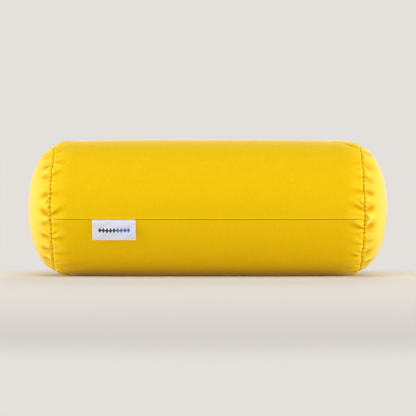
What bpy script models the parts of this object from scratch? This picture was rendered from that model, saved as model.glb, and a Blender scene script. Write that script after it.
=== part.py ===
"""Bolster pillow: a stretch fabric cover with a concealed zip, over a liner bag of bead fill.

Frame: X along the bolster, -Y the front with the label and the lengthwise seam, +Z up,
origin under the middle, on the surface that the bolster lies on. Metres.
"""

import math

import bmesh
import bpy

# The stuffed bolster
LENGTH = 0.400  # tip to tip of the domed ends
BARREL_RADIUS = 0.0768
BASE_PRESS = 0.0021  # how far the pillow's weight presses its base flat
SEAM_DRAW = 0.0074  # how far the gathered end seams draw the cover in
DOME_DEPTH = 0.032  # from the end seam to the tip
SHOULDER_LENGTH = 0.025  # where the barrel rounds down to the end seam

# The cover
COVER_WALL = 0.0008
ALLOWANCE_END = 0.006  # turned in at the end seams
ALLOWANCE_SIDE = 0.010  # pressed open behind the lengthwise seam
SEAM_GAP = 0.0003  # between two fabrics that touch
LAYER_GAP = 0.0004  # between fabrics that lie on each other round the barrel
SEAM_DROP_DEG = 9.0  # the lengthwise seam lies this far below the front's widest line
SEAM_SPLIT = 0.0010  # between the two edges of the lengthwise seam
THREAD = 0.0004

# The label
LABEL_WIDTH = 0.046
LABEL_DROP = 0.0235
LABEL_INSET = 0.018  # from the left end of the lengthwise seam's straight part
LABEL_THICK = 0.0006  # one ribbon, folded double
LABEL_LIFT = 0.0003

# The zip
LABEL_TO_ZIP = 0.005
ZIP_INSET = 0.018  # from the zip's right end to the end of the seam's straight part
TAPE_THICK = 0.0006
TAPE_SEWN = 0.0058  # the width of tape that lies on the turned-in edge
TAPE_RAMP = 0.0019  # where the tape steps down to clear the slider
COIL_HALF_WIDTH = 0.0029  # from the zip's middle to the tape's inner edge
COIL_WIRE = 0.0005
COIL_PITCH = 0.0025
COIL_OVERLAP = 0.0007  # how far the two coils reach into each other
SLIDER_LENGTH = 0.009
SLIDER_WIDTH = 0.007
SLIDER_PLATE = 0.0008
SLIDER_POST = 0.0015
SLIDER_CLEARANCE = 0.0008  # beside the slider
PARK_GAP = 0.0015  # between the slider and the end of its run

# The liner bag and its fill
LINER_WALL = 0.0005
LINER_GAP = 0.0006
LINER_ALLOWANCE = 0.004
LINER_THREAD = 0.0003
GATHER_ROOM = 0.0045  # inside the creases of the cover's gathers, by the end seams
GATHER_REACH = 0.030  # how far those creases run in over the straight barrel
SEAM_DENT_ROOM = 0.0019  # between the zip's slider and the liner that it presses in

COVER_STEPS = 60
LINER_STEPS = 40

HALF_SEAM = LENGTH / 2 - DOME_DEPTH  # the end seams' distance from the middle
HALF_BARREL = HALF_SEAM - SHOULDER_LENGTH
AXIS_HEIGHT = BARREL_RADIUS - BASE_PRESS
SEAM_RADIUS = BARREL_RADIUS - SEAM_DRAW
SIDE_SEAM_END = HALF_BARREL - 0.002
SEAM_ANGLE = math.radians(SEAM_DROP_DEG)
LABEL_START = LABEL_INSET - SIDE_SEAM_END
LABEL_END = LABEL_START + LABEL_WIDTH
ZIP_START = LABEL_END + LABEL_TO_ZIP
ZIP_END = SIDE_SEAM_END - ZIP_INSET

# Depths under the cover's outer face at the lengthwise seam, from the outside in
ALLOWANCE_TOP = -COVER_WALL - LAYER_GAP
ALLOWANCE_BOTTOM = ALLOWANCE_TOP - COVER_WALL
TAPE_TOP = ALLOWANCE_BOTTOM - LAYER_GAP
FRONT_PLATE_BOTTOM = TAPE_TOP - SLIDER_PLATE
COIL_LEVEL = FRONT_PLATE_BOTTOM - LAYER_GAP - TAPE_THICK / 2
BACK_PLATE_TOP = COIL_LEVEL - TAPE_THICK / 2 - LAYER_GAP

SEAM_DENT = SLIDER_PLATE - BACK_PLATE_TOP - COVER_WALL + SEAM_DENT_ROOM

# Distances along the girth from the zip's middle
TAPE_RAMP_START = SLIDER_WIDTH / 2 + SLIDER_CLEARANCE
TAPE_RAMP_END = TAPE_RAMP_START + TAPE_RAMP
TAPE_OUTER_EDGE = TAPE_RAMP_END + TAPE_SEWN
SEAM_DENT_WIDTH = TAPE_OUTER_EDGE + 0.004

# The slider is parked at the closed end, by the label
SLIDER_START = ZIP_START + PARK_GAP
COIL_START = SLIDER_START + SLIDER_POST + 0.0005


for old in list(bpy.data.objects):
    bpy.data.objects.remove(old, do_unlink=True)
pillow = bpy.data.collections.new("bolster_pillow")
bpy.context.scene.collection.children.link(pillow)
cutters = bpy.data.collections.new("cutters")
bpy.context.scene.collection.children.link(cutters)


def finish(name, colour, roughness, metallic=0.0):
    material = bpy.data.materials.new(name)
    material.use_nodes = True
    shader = material.node_tree.nodes["Principled BSDF"]
    shader.inputs["Base Color"].default_value = (*colour, 1.0)
    shader.inputs["Roughness"].default_value = roughness
    shader.inputs["Metallic"].default_value = metallic
    return material


def add(name, mesh, material, collection=pillow):
    piece = bpy.data.objects.new(name, mesh)
    collection.objects.link(piece)
    if material:
        mesh.materials.clear()
        mesh.materials.append(material)
    return piece


def evaluated_mesh(piece):
    """The piece's mesh with its modifiers applied, and the piece itself removed."""
    bpy.context.view_layer.update()
    graph = bpy.context.evaluated_depsgraph_get()
    mesh = bpy.data.meshes.new_from_object(piece.evaluated_get(graph))
    bpy.data.objects.remove(piece, do_unlink=True)
    return mesh


def cover_radius(x):
    """The cover's outer radius: a straight barrel, an elliptic shoulder, the seam and the dome."""
    x = abs(x)
    if x <= HALF_BARREL:
        return BARREL_RADIUS
    if x <= HALF_SEAM:
        run = (x - HALF_BARREL) / SHOULDER_LENGTH
        return BARREL_RADIUS - (BARREL_RADIUS - SEAM_RADIUS) * (1 - math.sqrt(1 - run * run))
    return SEAM_RADIUS * math.sqrt(max(0.0, 1 - ((x - HALF_SEAM) / DOME_DEPTH) ** 2))


def seam_dent(x, along):
    """How far a liner layer is pushed in at a distance along its girth from the lengthwise seam."""
    to_end = (HALF_SEAM - abs(x)) / (HALF_SEAM - HALF_BARREL)
    fade = min(1.0, max(0.0, 2.5 * to_end))
    return SEAM_DENT * fade * math.exp(-((along / SEAM_DENT_WIDTH) ** 2))


def settle(mesh, dented):
    """Moves a turned shape up to the pillow's axis, dents it at the seam and presses its base flat."""
    for vertex in mesh.vertices:
        x, y, z = vertex.co
        radius = math.hypot(y, z)
        if dented and radius > 0.01:
            swing = math.atan2(-z, -y) - SEAM_ANGLE
            swing = math.remainder(swing, 2 * math.pi)
            pushed = radius - seam_dent(x, swing * radius)
            y, z, radius = y * pushed / radius, z * pushed / radius, pushed
        depth = cover_radius(x) - radius
        vertex.co = (x, y, max(z + AXIS_HEIGHT, depth))


def turned(profile, steps, wall=None, dented=False):
    """A mesh turned about X from (x, radius) points towards +X, as a shell or as a solid."""
    outline = bpy.data.meshes.new("profile")
    points = [(x, 0.0, -radius) for x, radius in reversed(profile)]
    outline.from_pydata(points, [(i, i + 1) for i in range(len(points) - 1)], [])
    piece = add("turning", outline, None)
    screw = piece.modifiers.new("turn", "SCREW")
    screw.axis = "X"
    screw.steps = steps
    screw.render_steps = steps
    screw.use_merge_vertices = True
    screw.merge_threshold = 0.00001
    if wall:
        solidify = piece.modifiers.new("wall", "SOLIDIFY")
        solidify.thickness = wall
        solidify.offset = -1.0
        solidify.use_even_offset = True
    mesh = evaluated_mesh(piece)
    work = bmesh.new()
    work.from_mesh(mesh)
    bmesh.ops.remove_doubles(work, verts=work.verts, dist=0.00001)
    bmesh.ops.recalc_face_normals(work, faces=work.faces)
    work.to_mesh(mesh)
    work.free()
    settle(mesh, dented)
    mesh.shade_smooth()
    mesh.set_sharp_from_angle(angle=math.radians(40))
    return mesh


def mirrored_profile(half):
    """A profile from end to end, from its points on the +X side, which run outwards."""
    return [(-x, radius) for x, radius in reversed(half)] + half


def arc_steps(count):
    return [i * math.pi / 2 / count for i in range(1, count + 1)]


def wrapped(x, along, height):
    """A point near the lengthwise seam: along the girth below it, and its height off the cover."""
    angle = SEAM_ANGLE + along / BARREL_RADIUS
    radius = BARREL_RADIUS + height
    return (x, -radius * math.cos(angle), AXIS_HEIGHT - radius * math.sin(angle))


def strip(outline, x_start, x_end, side=1.0):
    """A closed (along, height) outline swept along X and laid round the barrel by the seam."""
    work = bmesh.new()
    rim = [work.verts.new((x_start, side * along, height)) for along, height in outline]
    cap = work.faces.new(rim)
    swept = bmesh.ops.extrude_face_region(work, geom=[cap])
    far = [item for item in swept["geom"] if isinstance(item, bmesh.types.BMVert)]
    bmesh.ops.translate(work, verts=far, vec=(x_end - x_start, 0, 0))
    for vertex in work.verts:
        vertex.co = wrapped(*vertex.co)
    bmesh.ops.recalc_face_normals(work, faces=work.faces)
    if work.calc_volume(signed=True) < 0:
        bmesh.ops.reverse_faces(work, faces=work.faces)
    mesh = bpy.data.meshes.new("strip")
    work.to_mesh(mesh)
    work.free()
    return mesh


def slab(along_start, along_end, bottom, top, pieces=1):
    """The outline of a flat strip, cut so that it can follow the barrel."""
    stops = [along_start + (along_end - along_start) * i / pieces for i in range(pieces + 1)]
    return [(a, bottom) for a in stops] + [(a, top) for a in reversed(stops)]


def thread_line(name, points, diameter, material, roundness=2):
    """A thread or wire: a curve with round section through its points."""
    curve = bpy.data.curves.new(name, "CURVE")
    curve.dimensions = "3D"
    curve.bevel_depth = diameter / 2
    curve.bevel_resolution = roundness
    curve.use_fill_caps = True
    spline = curve.splines.new("POLY")
    spline.points.add(len(points) - 1)
    for point, place in zip(spline.points, points):
        point.co = (*place, 1.0)
    curve.materials.append(material)
    pillow.objects.link(bpy.data.objects.new(name, curve))


def ring_thread(name, x, radius, diameter, steps, material):
    """The thread of an end seam, a ring in the valley between two panels."""
    bpy.ops.mesh.primitive_torus_add(
        major_segments=steps,
        minor_segments=5,
        major_radius=radius,
        minor_radius=diameter / 2,
        location=(x, 0, AXIS_HEIGHT),
        rotation=(0, math.pi / 2, 0),
    )
    ring = bpy.context.object
    ring.name = name
    ring.data.materials.append(material)
    ring.data.shade_smooth()
    for home in list(ring.users_collection):
        home.objects.unlink(ring)
    pillow.objects.link(ring)


def boolean(piece, operation, mesh, name):
    tool = add(name, mesh, None, cutters)
    tool.hide_render = True
    tool.display_type = "WIRE"
    modifier = piece.modifiers.new(name, "BOOLEAN")
    modifier.operation = operation
    modifier.object = tool
    modifier.solver = "EXACT"


yellow = finish("yellow_fabric", (0.84, 0.53, 0.01), 0.8)
yellow_thread = finish("yellow_thread", (0.62, 0.37, 0.01), 0.7)
white_ribbon = finish("white_ribbon", (0.66, 0.67, 0.76), 0.6)
yellow_tape = finish("yellow_zip_tape", (0.80, 0.50, 0.01), 0.75)
nylon = finish("nylon_coil", (0.80, 0.52, 0.03), 0.4)
die_cast = finish("slider_metal", (0.55, 0.55, 0.56), 0.35, 1.0)
liner_white = finish("white_liner_fabric", (0.80, 0.80, 0.78), 0.85)
bead_white = finish("bead_fill", (0.90, 0.90, 0.88), 0.9)


# Cover side panel: one tube, its end allowances turned in to the end seams, and its long edges
# folded back behind the lengthwise seam.
seam_face = HALF_SEAM - SEAM_GAP / 2
side_half = [(0.0, BARREL_RADIUS), (HALF_BARREL, BARREL_RADIUS)]
for angle in arc_steps(5):
    side_half.append((HALF_BARREL + (seam_face - HALF_BARREL) * math.sin(angle),
                      SEAM_RADIUS + (BARREL_RADIUS - SEAM_RADIUS) * math.cos(angle)))
side_half.append((seam_face, SEAM_RADIUS - ALLOWANCE_END))
side_profile = mirrored_profile(side_half[1:])
side_panel = add("cover_side_panel", turned(side_profile, COVER_STEPS, COVER_WALL), yellow)
for side, which in ((-1.0, "upper"), (1.0, "lower")):
    fold = SEAM_SPLIT / 2 + COVER_WALL
    edge = SEAM_SPLIT / 2 + ALLOWANCE_SIDE
    folded = [(SEAM_SPLIT / 2, -COVER_WALL / 2), (SEAM_SPLIT / 2, ALLOWANCE_BOTTOM)]
    folded += [(fold + (edge - fold) * i / 3, ALLOWANCE_BOTTOM) for i in range(4)]
    folded += [(fold + (edge - fold) * i / 3, ALLOWANCE_TOP) for i in (3, 2, 1, 0)]
    folded.append((fold, -COVER_WALL / 2))
    boolean(side_panel, "UNION", strip(folded, -SIDE_SEAM_END, SIDE_SEAM_END, side),
            "allowance_" + which)
split = slab(-SEAM_SPLIT / 2, SEAM_SPLIT / 2, ALLOWANCE_BOTTOM - 0.001, 0.002)
boolean(side_panel, "DIFFERENCE", strip(split, -SIDE_SEAM_END - 0.001, SIDE_SEAM_END + 0.001),
        "seam_split")


# Cover end panels: round pieces, domed by the fill, their allowances turned in beside the
# side panel's.
def end_panel(side):
    start = HALF_SEAM + SEAM_GAP / 2
    profile = [(side * start, SEAM_RADIUS - ALLOWANCE_END), (side * start, SEAM_RADIUS)]
    for angle in arc_steps(7):
        reach = start + (LENGTH / 2 - start) * math.sin(angle)
        profile.append((side * reach, SEAM_RADIUS * math.cos(angle)))
    profile[-1] = (side * LENGTH / 2, 0.0)
    return profile if side > 0 else profile[::-1]


seam_thread_radius = SEAM_RADIUS + SEAM_GAP + THREAD / 2 + 0.00025
for side, hand in ((-1.0, "left"), (1.0, "right")):
    add("cover_end_panel_" + hand, turned(end_panel(side), COVER_STEPS, COVER_WALL), yellow)
    ring_thread("cover_end_thread_" + hand, side * HALF_SEAM, seam_thread_radius, THREAD,
                COVER_STEPS, yellow_thread)


# Threads of the lengthwise seam, in the split between its edges, either side of the zip.
thread_level = ALLOWANCE_BOTTOM + THREAD / 2 + 0.0002
tack_room = 0.003
for hand, start, end in (("left", -SIDE_SEAM_END, ZIP_START - tack_room),
                         ("right", ZIP_END + tack_room, SIDE_SEAM_END)):
    ends = [wrapped(start, 0, thread_level), wrapped(end, 0, thread_level)]
    thread_line("cover_seam_thread_" + hand, ends, THREAD, yellow_thread)


# Woven label: one ribbon folded double, held by its upper edge in the seam. It swings about
# that edge, so the sewn-in tail is a solid of its own.
hinge_height = LABEL_LIFT + LABEL_THICK / 2
label_outline = slab(0.0, LABEL_DROP, LABEL_LIFT, LABEL_LIFT + LABEL_THICK, 6)
label_mesh = strip(label_outline, LABEL_START, LABEL_END)
hinge = wrapped((LABEL_START + LABEL_END) / 2, 0.0, hinge_height)
for vertex in label_mesh.vertices:
    vertex.co = [a - b for a, b in zip(vertex.co, hinge)]
label = add("woven_label", label_mesh, white_ribbon)
label.location = hinge
tail_thick = SEAM_SPLIT - 2 * SEAM_GAP
tail = slab(-tail_thick / 2, tail_thick / 2, thread_level + THREAD / 2 + SEAM_GAP,
            LABEL_LIFT - SEAM_GAP)
add("woven_label_tail", strip(tail, LABEL_START, LABEL_END), white_ribbon)


# Zip tapes: their outer edges lie on the folded allowances, and their inner edges stand off
# to clear the slider.
tape_end = 0.006
tape_low = COIL_LEVEL + TAPE_THICK / 2
tape_middle = TAPE_RAMP_END + TAPE_SEWN / 2
tape_back = [(COIL_HALF_WIDTH, tape_low), (TAPE_RAMP_START, tape_low), (TAPE_RAMP_END, TAPE_TOP),
             (tape_middle, TAPE_TOP), (TAPE_OUTER_EDGE, TAPE_TOP)]
tape_outline = tape_back + [(along, height - TAPE_THICK) for along, height in reversed(tape_back)]
coil_reach = COIL_HALF_WIDTH - SEAM_GAP - COIL_WIRE / 2
coil_count = int((ZIP_END - COIL_START - COIL_WIRE) / COIL_PITCH)
for side, which in ((-1.0, "upper"), (1.0, "lower")):
    add("zip_tape_" + which, strip(tape_outline, ZIP_START - tape_end, ZIP_END + tape_end, side),
        yellow_tape)
    first = COIL_START + COIL_WIRE / 2 + (COIL_PITCH / 2 if side > 0 else 0.0)
    turns = []
    for i in range(2 * coil_count - 1):
        at_tape = i % 2 == 0
        along = side * coil_reach if at_tape else -side * COIL_OVERLAP / 2
        turns.append(wrapped(first + i * COIL_PITCH / 2, along, COIL_LEVEL))
    thread_line("zip_coil_" + which, turns, COIL_WIRE, nylon, 0)
    sewn = TAPE_TOP - TAPE_THICK - SEAM_GAP - LINER_THREAD / 2
    ends = [wrapped(x, side * tape_middle, sewn) for x in (ZIP_START - tape_end, ZIP_END + tape_end)]
    thread_line("zip_stitching_" + which, ends, LINER_THREAD, yellow_thread)


# Bar tacks across the ends of the zip, on the tapes' inner side.
tack_length = 0.0015
tack_top = COIL_LEVEL - TAPE_THICK / 2 - SEAM_GAP
tack_reach = COIL_HALF_WIDTH + 0.001
tack = slab(-tack_reach, tack_reach, tack_top - TAPE_THICK, tack_top, 2)
for hand, start in (("left", ZIP_START - 2 * tack_length), ("right", ZIP_END + tack_length)):
    add("zip_bar_tack_" + hand, strip(tack, start, start + tack_length), yellow_thread)


# Zip slider: two plates joined by a post at its nose, with no pull. It parts the coils as it
# runs.
half_width = SLIDER_WIDTH / 2
slider_end = SLIDER_START + SLIDER_LENGTH
slider = add("zip_slider", strip(slab(-half_width, half_width, FRONT_PLATE_BOTTOM, TAPE_TOP, 2),
                                 SLIDER_START, slider_end), die_cast)
boolean(slider, "UNION", strip(slab(-half_width, half_width, BACK_PLATE_TOP - SLIDER_PLATE,
                                    BACK_PLATE_TOP, 2), SLIDER_START, slider_end), "back_plate")
boolean(slider, "UNION", strip(slab(-0.0007, 0.0007, BACK_PLATE_TOP - SLIDER_PLATE / 2,
                                    FRONT_PLATE_BOTTOM + SLIDER_PLATE / 2),
                               SLIDER_START, SLIDER_START + SLIDER_POST), "post")


# Liner bag: a smaller bag of the same form inside the cover. It draws in to a neck inside the
# cover's turned-in end allowances, where its own end seams lie.
liner_depth = COVER_WALL + LINER_GAP
neck = SEAM_RADIUS - ALLOWANCE_END - 2 * SEAM_GAP - LINER_THREAD - 0.0003
liner_face = SEAM_GAP / 2
neck_reach = COVER_WALL + SEAM_GAP / 2 + LINER_GAP
rise = 0.0030


def inner_side_profile(depth, neck_radius, reach, face):
    """Half a barrel profile at a depth inside the cover, down to the neck by the end seam."""
    barrel = BARREL_RADIUS - depth
    half = [(HALF_BARREL - GATHER_REACH * share, barrel - GATHER_ROOM * drop)
            for share, drop in ((1.0, 0.0), (0.45, 0.15), (0.0, 0.45))]
    for angle in arc_steps(4)[:3]:
        x = HALF_BARREL + (HALF_SEAM - reach - rise - HALF_BARREL) * math.sin(angle)
        room = GATHER_ROOM * (0.45 + 0.55 * math.sin(angle))
        half.append((x, cover_radius(x) - depth / math.cos(angle * 0.6) - room))
    half.append((HALF_SEAM - reach, neck_radius))
    half.append((HALF_SEAM - face, neck_radius))
    return half


def inner_dome_profile(depth, neck_radius, reach, face):
    """The matching dome, from the neck by the end seam to the tip."""
    half = [(HALF_SEAM + face, neck_radius), (HALF_SEAM + reach, neck_radius)]
    for angle in arc_steps(6)[1:]:
        x = HALF_SEAM + (DOME_DEPTH - depth) * math.sin(angle)
        half.append((x, (SEAM_RADIUS - depth - GATHER_ROOM) * math.cos(angle)))
    half[-1] = (LENGTH / 2 - depth, 0.0)
    return half


liner_half = inner_side_profile(liner_depth, neck, neck_reach, liner_face)
liner_half.append((HALF_SEAM - liner_face, neck - LINER_ALLOWANCE))
liner = add("liner_side_panel",
            turned(mirrored_profile(liner_half), LINER_STEPS, LINER_WALL, dented=True), liner_white)
for side, hand in ((-1.0, "left"), (1.0, "right")):
    dome = inner_dome_profile(liner_depth, neck, neck_reach, liner_face)
    dome.insert(0, (HALF_SEAM + liner_face, neck - LINER_ALLOWANCE))
    dome = [(side * x, radius) for x, radius in dome]
    add("liner_end_panel_" + hand, turned(dome if side > 0 else dome[::-1], LINER_STEPS, LINER_WALL),
        liner_white)
    ring_thread("liner_end_thread_" + hand, side * HALF_SEAM, neck + SEAM_GAP + LINER_THREAD / 2,
                LINER_THREAD, LINER_STEPS, liner_white)


# Liner's lengthwise seam: its edges meet at the back, with the thread between them.
slit_mesh = bpy.data.meshes.new("slit")
work = bmesh.new()
bmesh.ops.create_cube(work, size=1.0)
bmesh.ops.scale(work, verts=work.verts, vec=(2 * SIDE_SEAM_END, 0.006, 2 * SEAM_GAP + LINER_THREAD))
bmesh.ops.translate(work, verts=work.verts, vec=(0, BARREL_RADIUS - liner_depth, AXIS_HEIGHT))
work.to_mesh(slit_mesh)
work.free()
boolean(liner, "DIFFERENCE", slit_mesh, "liner_slit")
thread_end = SIDE_SEAM_END - SEAM_GAP
thread_back = BARREL_RADIUS - liner_depth - LINER_WALL / 2
thread_line("liner_seam_thread", [(x, thread_back, AXIS_HEIGHT) for x in (-thread_end, thread_end)],
            LINER_THREAD, liner_white)


# Bead fill: the loose beads as the one body that they form inside the liner.
fill_depth = liner_depth + LINER_WALL + LINER_GAP
fill_neck = neck - LINER_ALLOWANCE - LINER_GAP
fill_reach = neck_reach + LINER_WALL + LINER_GAP
fill_half = inner_side_profile(fill_depth, fill_neck, fill_reach, 0.0)
fill_half += inner_dome_profile(fill_depth, fill_neck, fill_reach, 0.0)[1:]
add("bead_fill", turned(mirrored_profile(fill_half), LINER_STEPS, dented=True), bead_white)
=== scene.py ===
import math

import bmesh
import bpy
import numpy as np
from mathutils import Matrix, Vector


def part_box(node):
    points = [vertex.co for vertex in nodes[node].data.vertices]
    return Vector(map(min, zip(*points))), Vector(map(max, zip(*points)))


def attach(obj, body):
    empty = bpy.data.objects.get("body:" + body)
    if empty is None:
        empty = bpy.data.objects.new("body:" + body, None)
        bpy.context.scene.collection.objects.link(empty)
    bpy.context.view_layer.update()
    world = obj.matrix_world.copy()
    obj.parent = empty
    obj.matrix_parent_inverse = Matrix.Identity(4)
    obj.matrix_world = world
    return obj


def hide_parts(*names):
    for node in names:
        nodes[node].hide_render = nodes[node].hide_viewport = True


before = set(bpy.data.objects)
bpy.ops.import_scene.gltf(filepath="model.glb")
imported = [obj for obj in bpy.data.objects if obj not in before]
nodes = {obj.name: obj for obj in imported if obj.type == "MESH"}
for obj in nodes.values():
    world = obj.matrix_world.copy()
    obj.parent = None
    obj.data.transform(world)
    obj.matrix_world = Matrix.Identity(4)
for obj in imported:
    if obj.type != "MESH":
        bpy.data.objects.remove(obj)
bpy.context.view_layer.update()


# ---------------------------------------------------------------------------------------------
# Bead fill. Thousands of small foam beads that settle into one firm body inside the liner bag.
# It is shown as that body, with the beads in its finish.
# ---------------------------------------------------------------------------------------------
BEAD_SIZE = 0.0025
BEAD_WHITE = (0.86, 0.86, 0.83, 1.0)
BEAD_SHADE = (0.62, 0.62, 0.58, 1.0)


def start_finish(name, **sockets):
    """A new finish: its material, its node tree and its shader, with the values that never vary."""
    finish = bpy.data.materials.new(name)
    finish.use_nodes = True
    shader = finish.node_tree.nodes["Principled BSDF"]
    for socket, value in sockets.items():
        shader.inputs[socket.replace("_", " ")].default_value = value
    return finish, finish.node_tree, shader


def place(tree, kind, inputs=(), **settings):
    """A shader node, with its inputs given as values or as other nodes' outputs."""
    node = tree.nodes.new("ShaderNode" + kind)
    for name, value in settings.items():
        setattr(node, name, value)
    for name, value in dict(inputs).items():
        if isinstance(value, bpy.types.NodeSocket):
            tree.links.new(value, node.inputs[name])
        else:
            node.inputs[name].default_value = value
    return node


def start_group(name, inputs, outputs):
    """A shader node group, with its sockets as (name, kind), and its two end nodes."""
    group = bpy.data.node_groups.new(name, "ShaderNodeTree")
    for way, sockets in (("INPUT", inputs), ("OUTPUT", outputs)):
        for label, kind in sockets:
            group.interface.new_socket(name=label, in_out=way, socket_type="NodeSocket" + kind)
    return group, group.nodes.new("NodeGroupInput"), group.nodes.new("NodeGroupOutput")


def raise_surface(tree, shader, height, distance, strength):
    """Raises the finish's surface by a height pattern of that depth."""
    bump = place(tree, "Bump", {"Height": height, "Distance": distance, "Strength": strength})
    tree.links.new(bump.outputs["Normal"], shader.inputs["Normal"])


# Colour that took unevenly in the dye, or soiled unevenly, in soft patches of a given size.
uneven_colour, given, made = start_group(
    "uneven_colour",
    [("Colour", "Color"), ("Deeper", "Color"), ("Patch", "Float"), ("Share", "Float")],
    [("Colour", "Color")])
place_in_piece = place(uneven_colour, "TexCoord")
patch_scale = place(uneven_colour, "Math", {0: 1.0, 1: given.outputs["Patch"]}, operation="DIVIDE")
patches = place(uneven_colour, "TexNoise", {
    "Vector": place_in_piece.outputs["Object"], "Scale": patch_scale.outputs[0],
    "Detail": 3.0, "Roughness": 0.6})
patch_share = place(uneven_colour, "Math", {
    0: patches.outputs["Fac"], 1: given.outputs["Share"]}, operation="MULTIPLY")
patch_mix = place(uneven_colour, "Mix", {
    0: patch_share.outputs[0], 6: given.outputs["Colour"], 7: given.outputs["Deeper"]},
    data_type="RGBA")
uneven_colour.links.new(patch_mix.outputs[2], made.inputs["Colour"])


def dyed(tree, colour, deeper, patch, share):
    """The colour output of an uneven_colour group with these values."""
    node = place(tree, "Group", node_tree=uneven_colour)
    for label, value in (("Colour", colour), ("Deeper", deeper), ("Patch", patch), ("Share", share)):
        node.inputs[label].default_value = value
    return node.outputs["Colour"]


beads, tree, shader = start_finish("foam_beads", Roughness=0.7, Specular_IOR_Level=0.3)
bead_place = place(tree, "TexCoord")
bead_cells = place(tree, "TexVoronoi", {
    "Vector": bead_place.outputs["Object"], "Scale": 1 / BEAD_SIZE, "Randomness": 0.8})
bead_round = place(tree, "Math", {0: 1.0, 1: bead_cells.outputs["Distance"]}, operation="SUBTRACT")
# Each bead is painted darker towards its edge: painted shade between the beads.
bead_colour_edge_shaded = place(tree, "Mix", {
    0: bead_cells.outputs["Distance"],
    6: dyed(tree, BEAD_WHITE, BEAD_SHADE, patch=0.03, share=0.3), 7: BEAD_SHADE}, data_type="RGBA")
tree.links.new(bead_colour_edge_shaded.outputs[2], shader.inputs["Base Color"])
raise_surface(tree, shader, bead_round.outputs[0], distance=BEAD_SIZE / 2, strength=0.8)
nodes["bead_fill"].data.materials[0] = beads


# ---------------------------------------------------------------------------------------------
# Liner bag. A bag of thin plain-woven white cloth that keeps the beads in when the cover comes
# off. Its round ends are sewn in with white thread, and its long seam lies at the back.
# ---------------------------------------------------------------------------------------------
LINER_WHITE = (0.80, 0.80, 0.77, 1.0)
LINER_GREY = (0.66, 0.66, 0.63, 1.0)
LINER_YARN = 0.0007
THREAD_WHITE = (0.78, 0.78, 0.75, 1.0)
THREAD_GREY = (0.62, 0.62, 0.60, 1.0)
THREAD_TWIST = 0.0009
THREAD_GROOVE = 0.0001  # between its plies
WAVE_LENGTH = 0.314  # of a wave texture at a scale of 1

# Threads over and under each other, from a place on the cloth in metres and the yarns' pitch.
plain_weave, given, made = start_group(
    "plain_weave", [("Along", "Float"), ("Round", "Float"), ("Yarn", "Float")], [("Height", "Float")])
yarn_turns = place(plain_weave, "Math", {0: 2 * math.pi, 1: given.outputs["Yarn"]}, operation="DIVIDE")
over_yarns = []
for way in ("Along", "Round"):
    phase = place(plain_weave, "Math", {0: given.outputs[way], 1: yarn_turns.outputs[0]},
                  operation="MULTIPLY")
    over_yarns.append(place(plain_weave, "Math", {0: phase.outputs[0]}, operation="SINE"))
warp, weft = over_yarns
over_under = place(plain_weave, "Math", {0: warp.outputs[0], 1: weft.outputs[0]}, operation="MULTIPLY")
weave_height = place(plain_weave, "Math", {0: over_under.outputs[0], 1: 0.5, 2: 0.5},
                     operation="MULTIPLY_ADD")
plain_weave.links.new(weave_height.outputs[0], made.inputs["Height"])

# A place on the barrel as cloth lies on it: along the bolster, and round its girth, in metres.
side_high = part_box("cover_side_panel")[1]
barrel_radius = side_high.y
axis_height = side_high.z - barrel_radius
round_barrel, given, made = start_group("round_barrel", [], [("Along", "Float"), ("Round", "Float")])
barrel_place = place(round_barrel, "TexCoord")
barrel_parts = place(round_barrel, "SeparateXYZ", {0: barrel_place.outputs["Object"]})
above_axis = place(round_barrel, "Math", {0: barrel_parts.outputs["Z"], 1: axis_height},
                   operation="SUBTRACT")
girth_turn = place(round_barrel, "Math", {0: barrel_parts.outputs["Y"], 1: above_axis.outputs[0]},
                   operation="ARCTAN2")
girth_length = place(round_barrel, "Math", {0: girth_turn.outputs[0], 1: barrel_radius},
                     operation="MULTIPLY")
round_barrel.links.new(barrel_parts.outputs["X"], made.inputs["Along"])
round_barrel.links.new(girth_length.outputs[0], made.inputs["Round"])

# The plies of a sewing thread, twisted round each other.
twisted_ply, given, made = start_group("twisted_ply", [("Twist", "Float")], [("Height", "Float")])
ply_barrel = place(twisted_ply, "Group", node_tree=round_barrel)
ply_place = place(twisted_ply, "CombineXYZ", {
    "X": ply_barrel.outputs["Along"], "Y": ply_barrel.outputs["Round"]})
ply_scale = place(twisted_ply, "Math", {0: WAVE_LENGTH, 1: given.outputs["Twist"]}, operation="DIVIDE")
plies = place(twisted_ply, "TexWave", {
    "Vector": ply_place.outputs[0], "Scale": ply_scale.outputs[0],
    "Distortion": 0.4, "Detail": 1.0}, bands_direction="DIAGONAL")
twisted_ply.links.new(plies.outputs["Fac"], made.inputs["Height"])


def woven(name, colour, deeper, yarn, patch=0.02, share=0.5, **sockets):
    """A plain-woven cloth finish, its yarns following the barrel."""
    finish, tree, shader = start_finish(name, **sockets)
    tree.links.new(dyed(tree, colour, deeper, patch, share), shader.inputs["Base Color"])
    barrel = place(tree, "Group", node_tree=round_barrel)
    weave = place(tree, "Group", {"Along": barrel.outputs["Along"], "Round": barrel.outputs["Round"],
                                  "Yarn": yarn}, node_tree=plain_weave)
    raise_surface(tree, shader, weave.outputs["Height"], distance=yarn / 4, strength=0.5)
    return finish


def sewing_thread(name, colour, deeper):
    """A finish of twisted sewing thread."""
    finish, tree, shader = start_finish(name, Roughness=0.55, Sheen_Weight=0.2)
    tree.links.new(dyed(tree, colour, deeper, patch=0.002, share=0.8), shader.inputs["Base Color"])
    twist = place(tree, "Group", {"Twist": THREAD_TWIST}, node_tree=twisted_ply)
    raise_surface(tree, shader, twist.outputs["Height"], distance=THREAD_GROOVE, strength=0.6)
    return finish


liner_cloth = woven("liner_cloth", LINER_WHITE, LINER_GREY, LINER_YARN, Roughness=0.85,
                    Sheen_Weight=0.15, Specular_IOR_Level=0.25)
white_thread = sewing_thread("white_sewing_thread", THREAD_WHITE, THREAD_GREY)
for name in ("liner_side_panel", "liner_end_panel_left", "liner_end_panel_right"):
    nodes[name].data.materials[0] = liner_cloth
for name in ("liner_seam_thread", "liner_end_thread_left", "liner_end_thread_right"):
    nodes[name].data.materials[0] = white_thread


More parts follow.
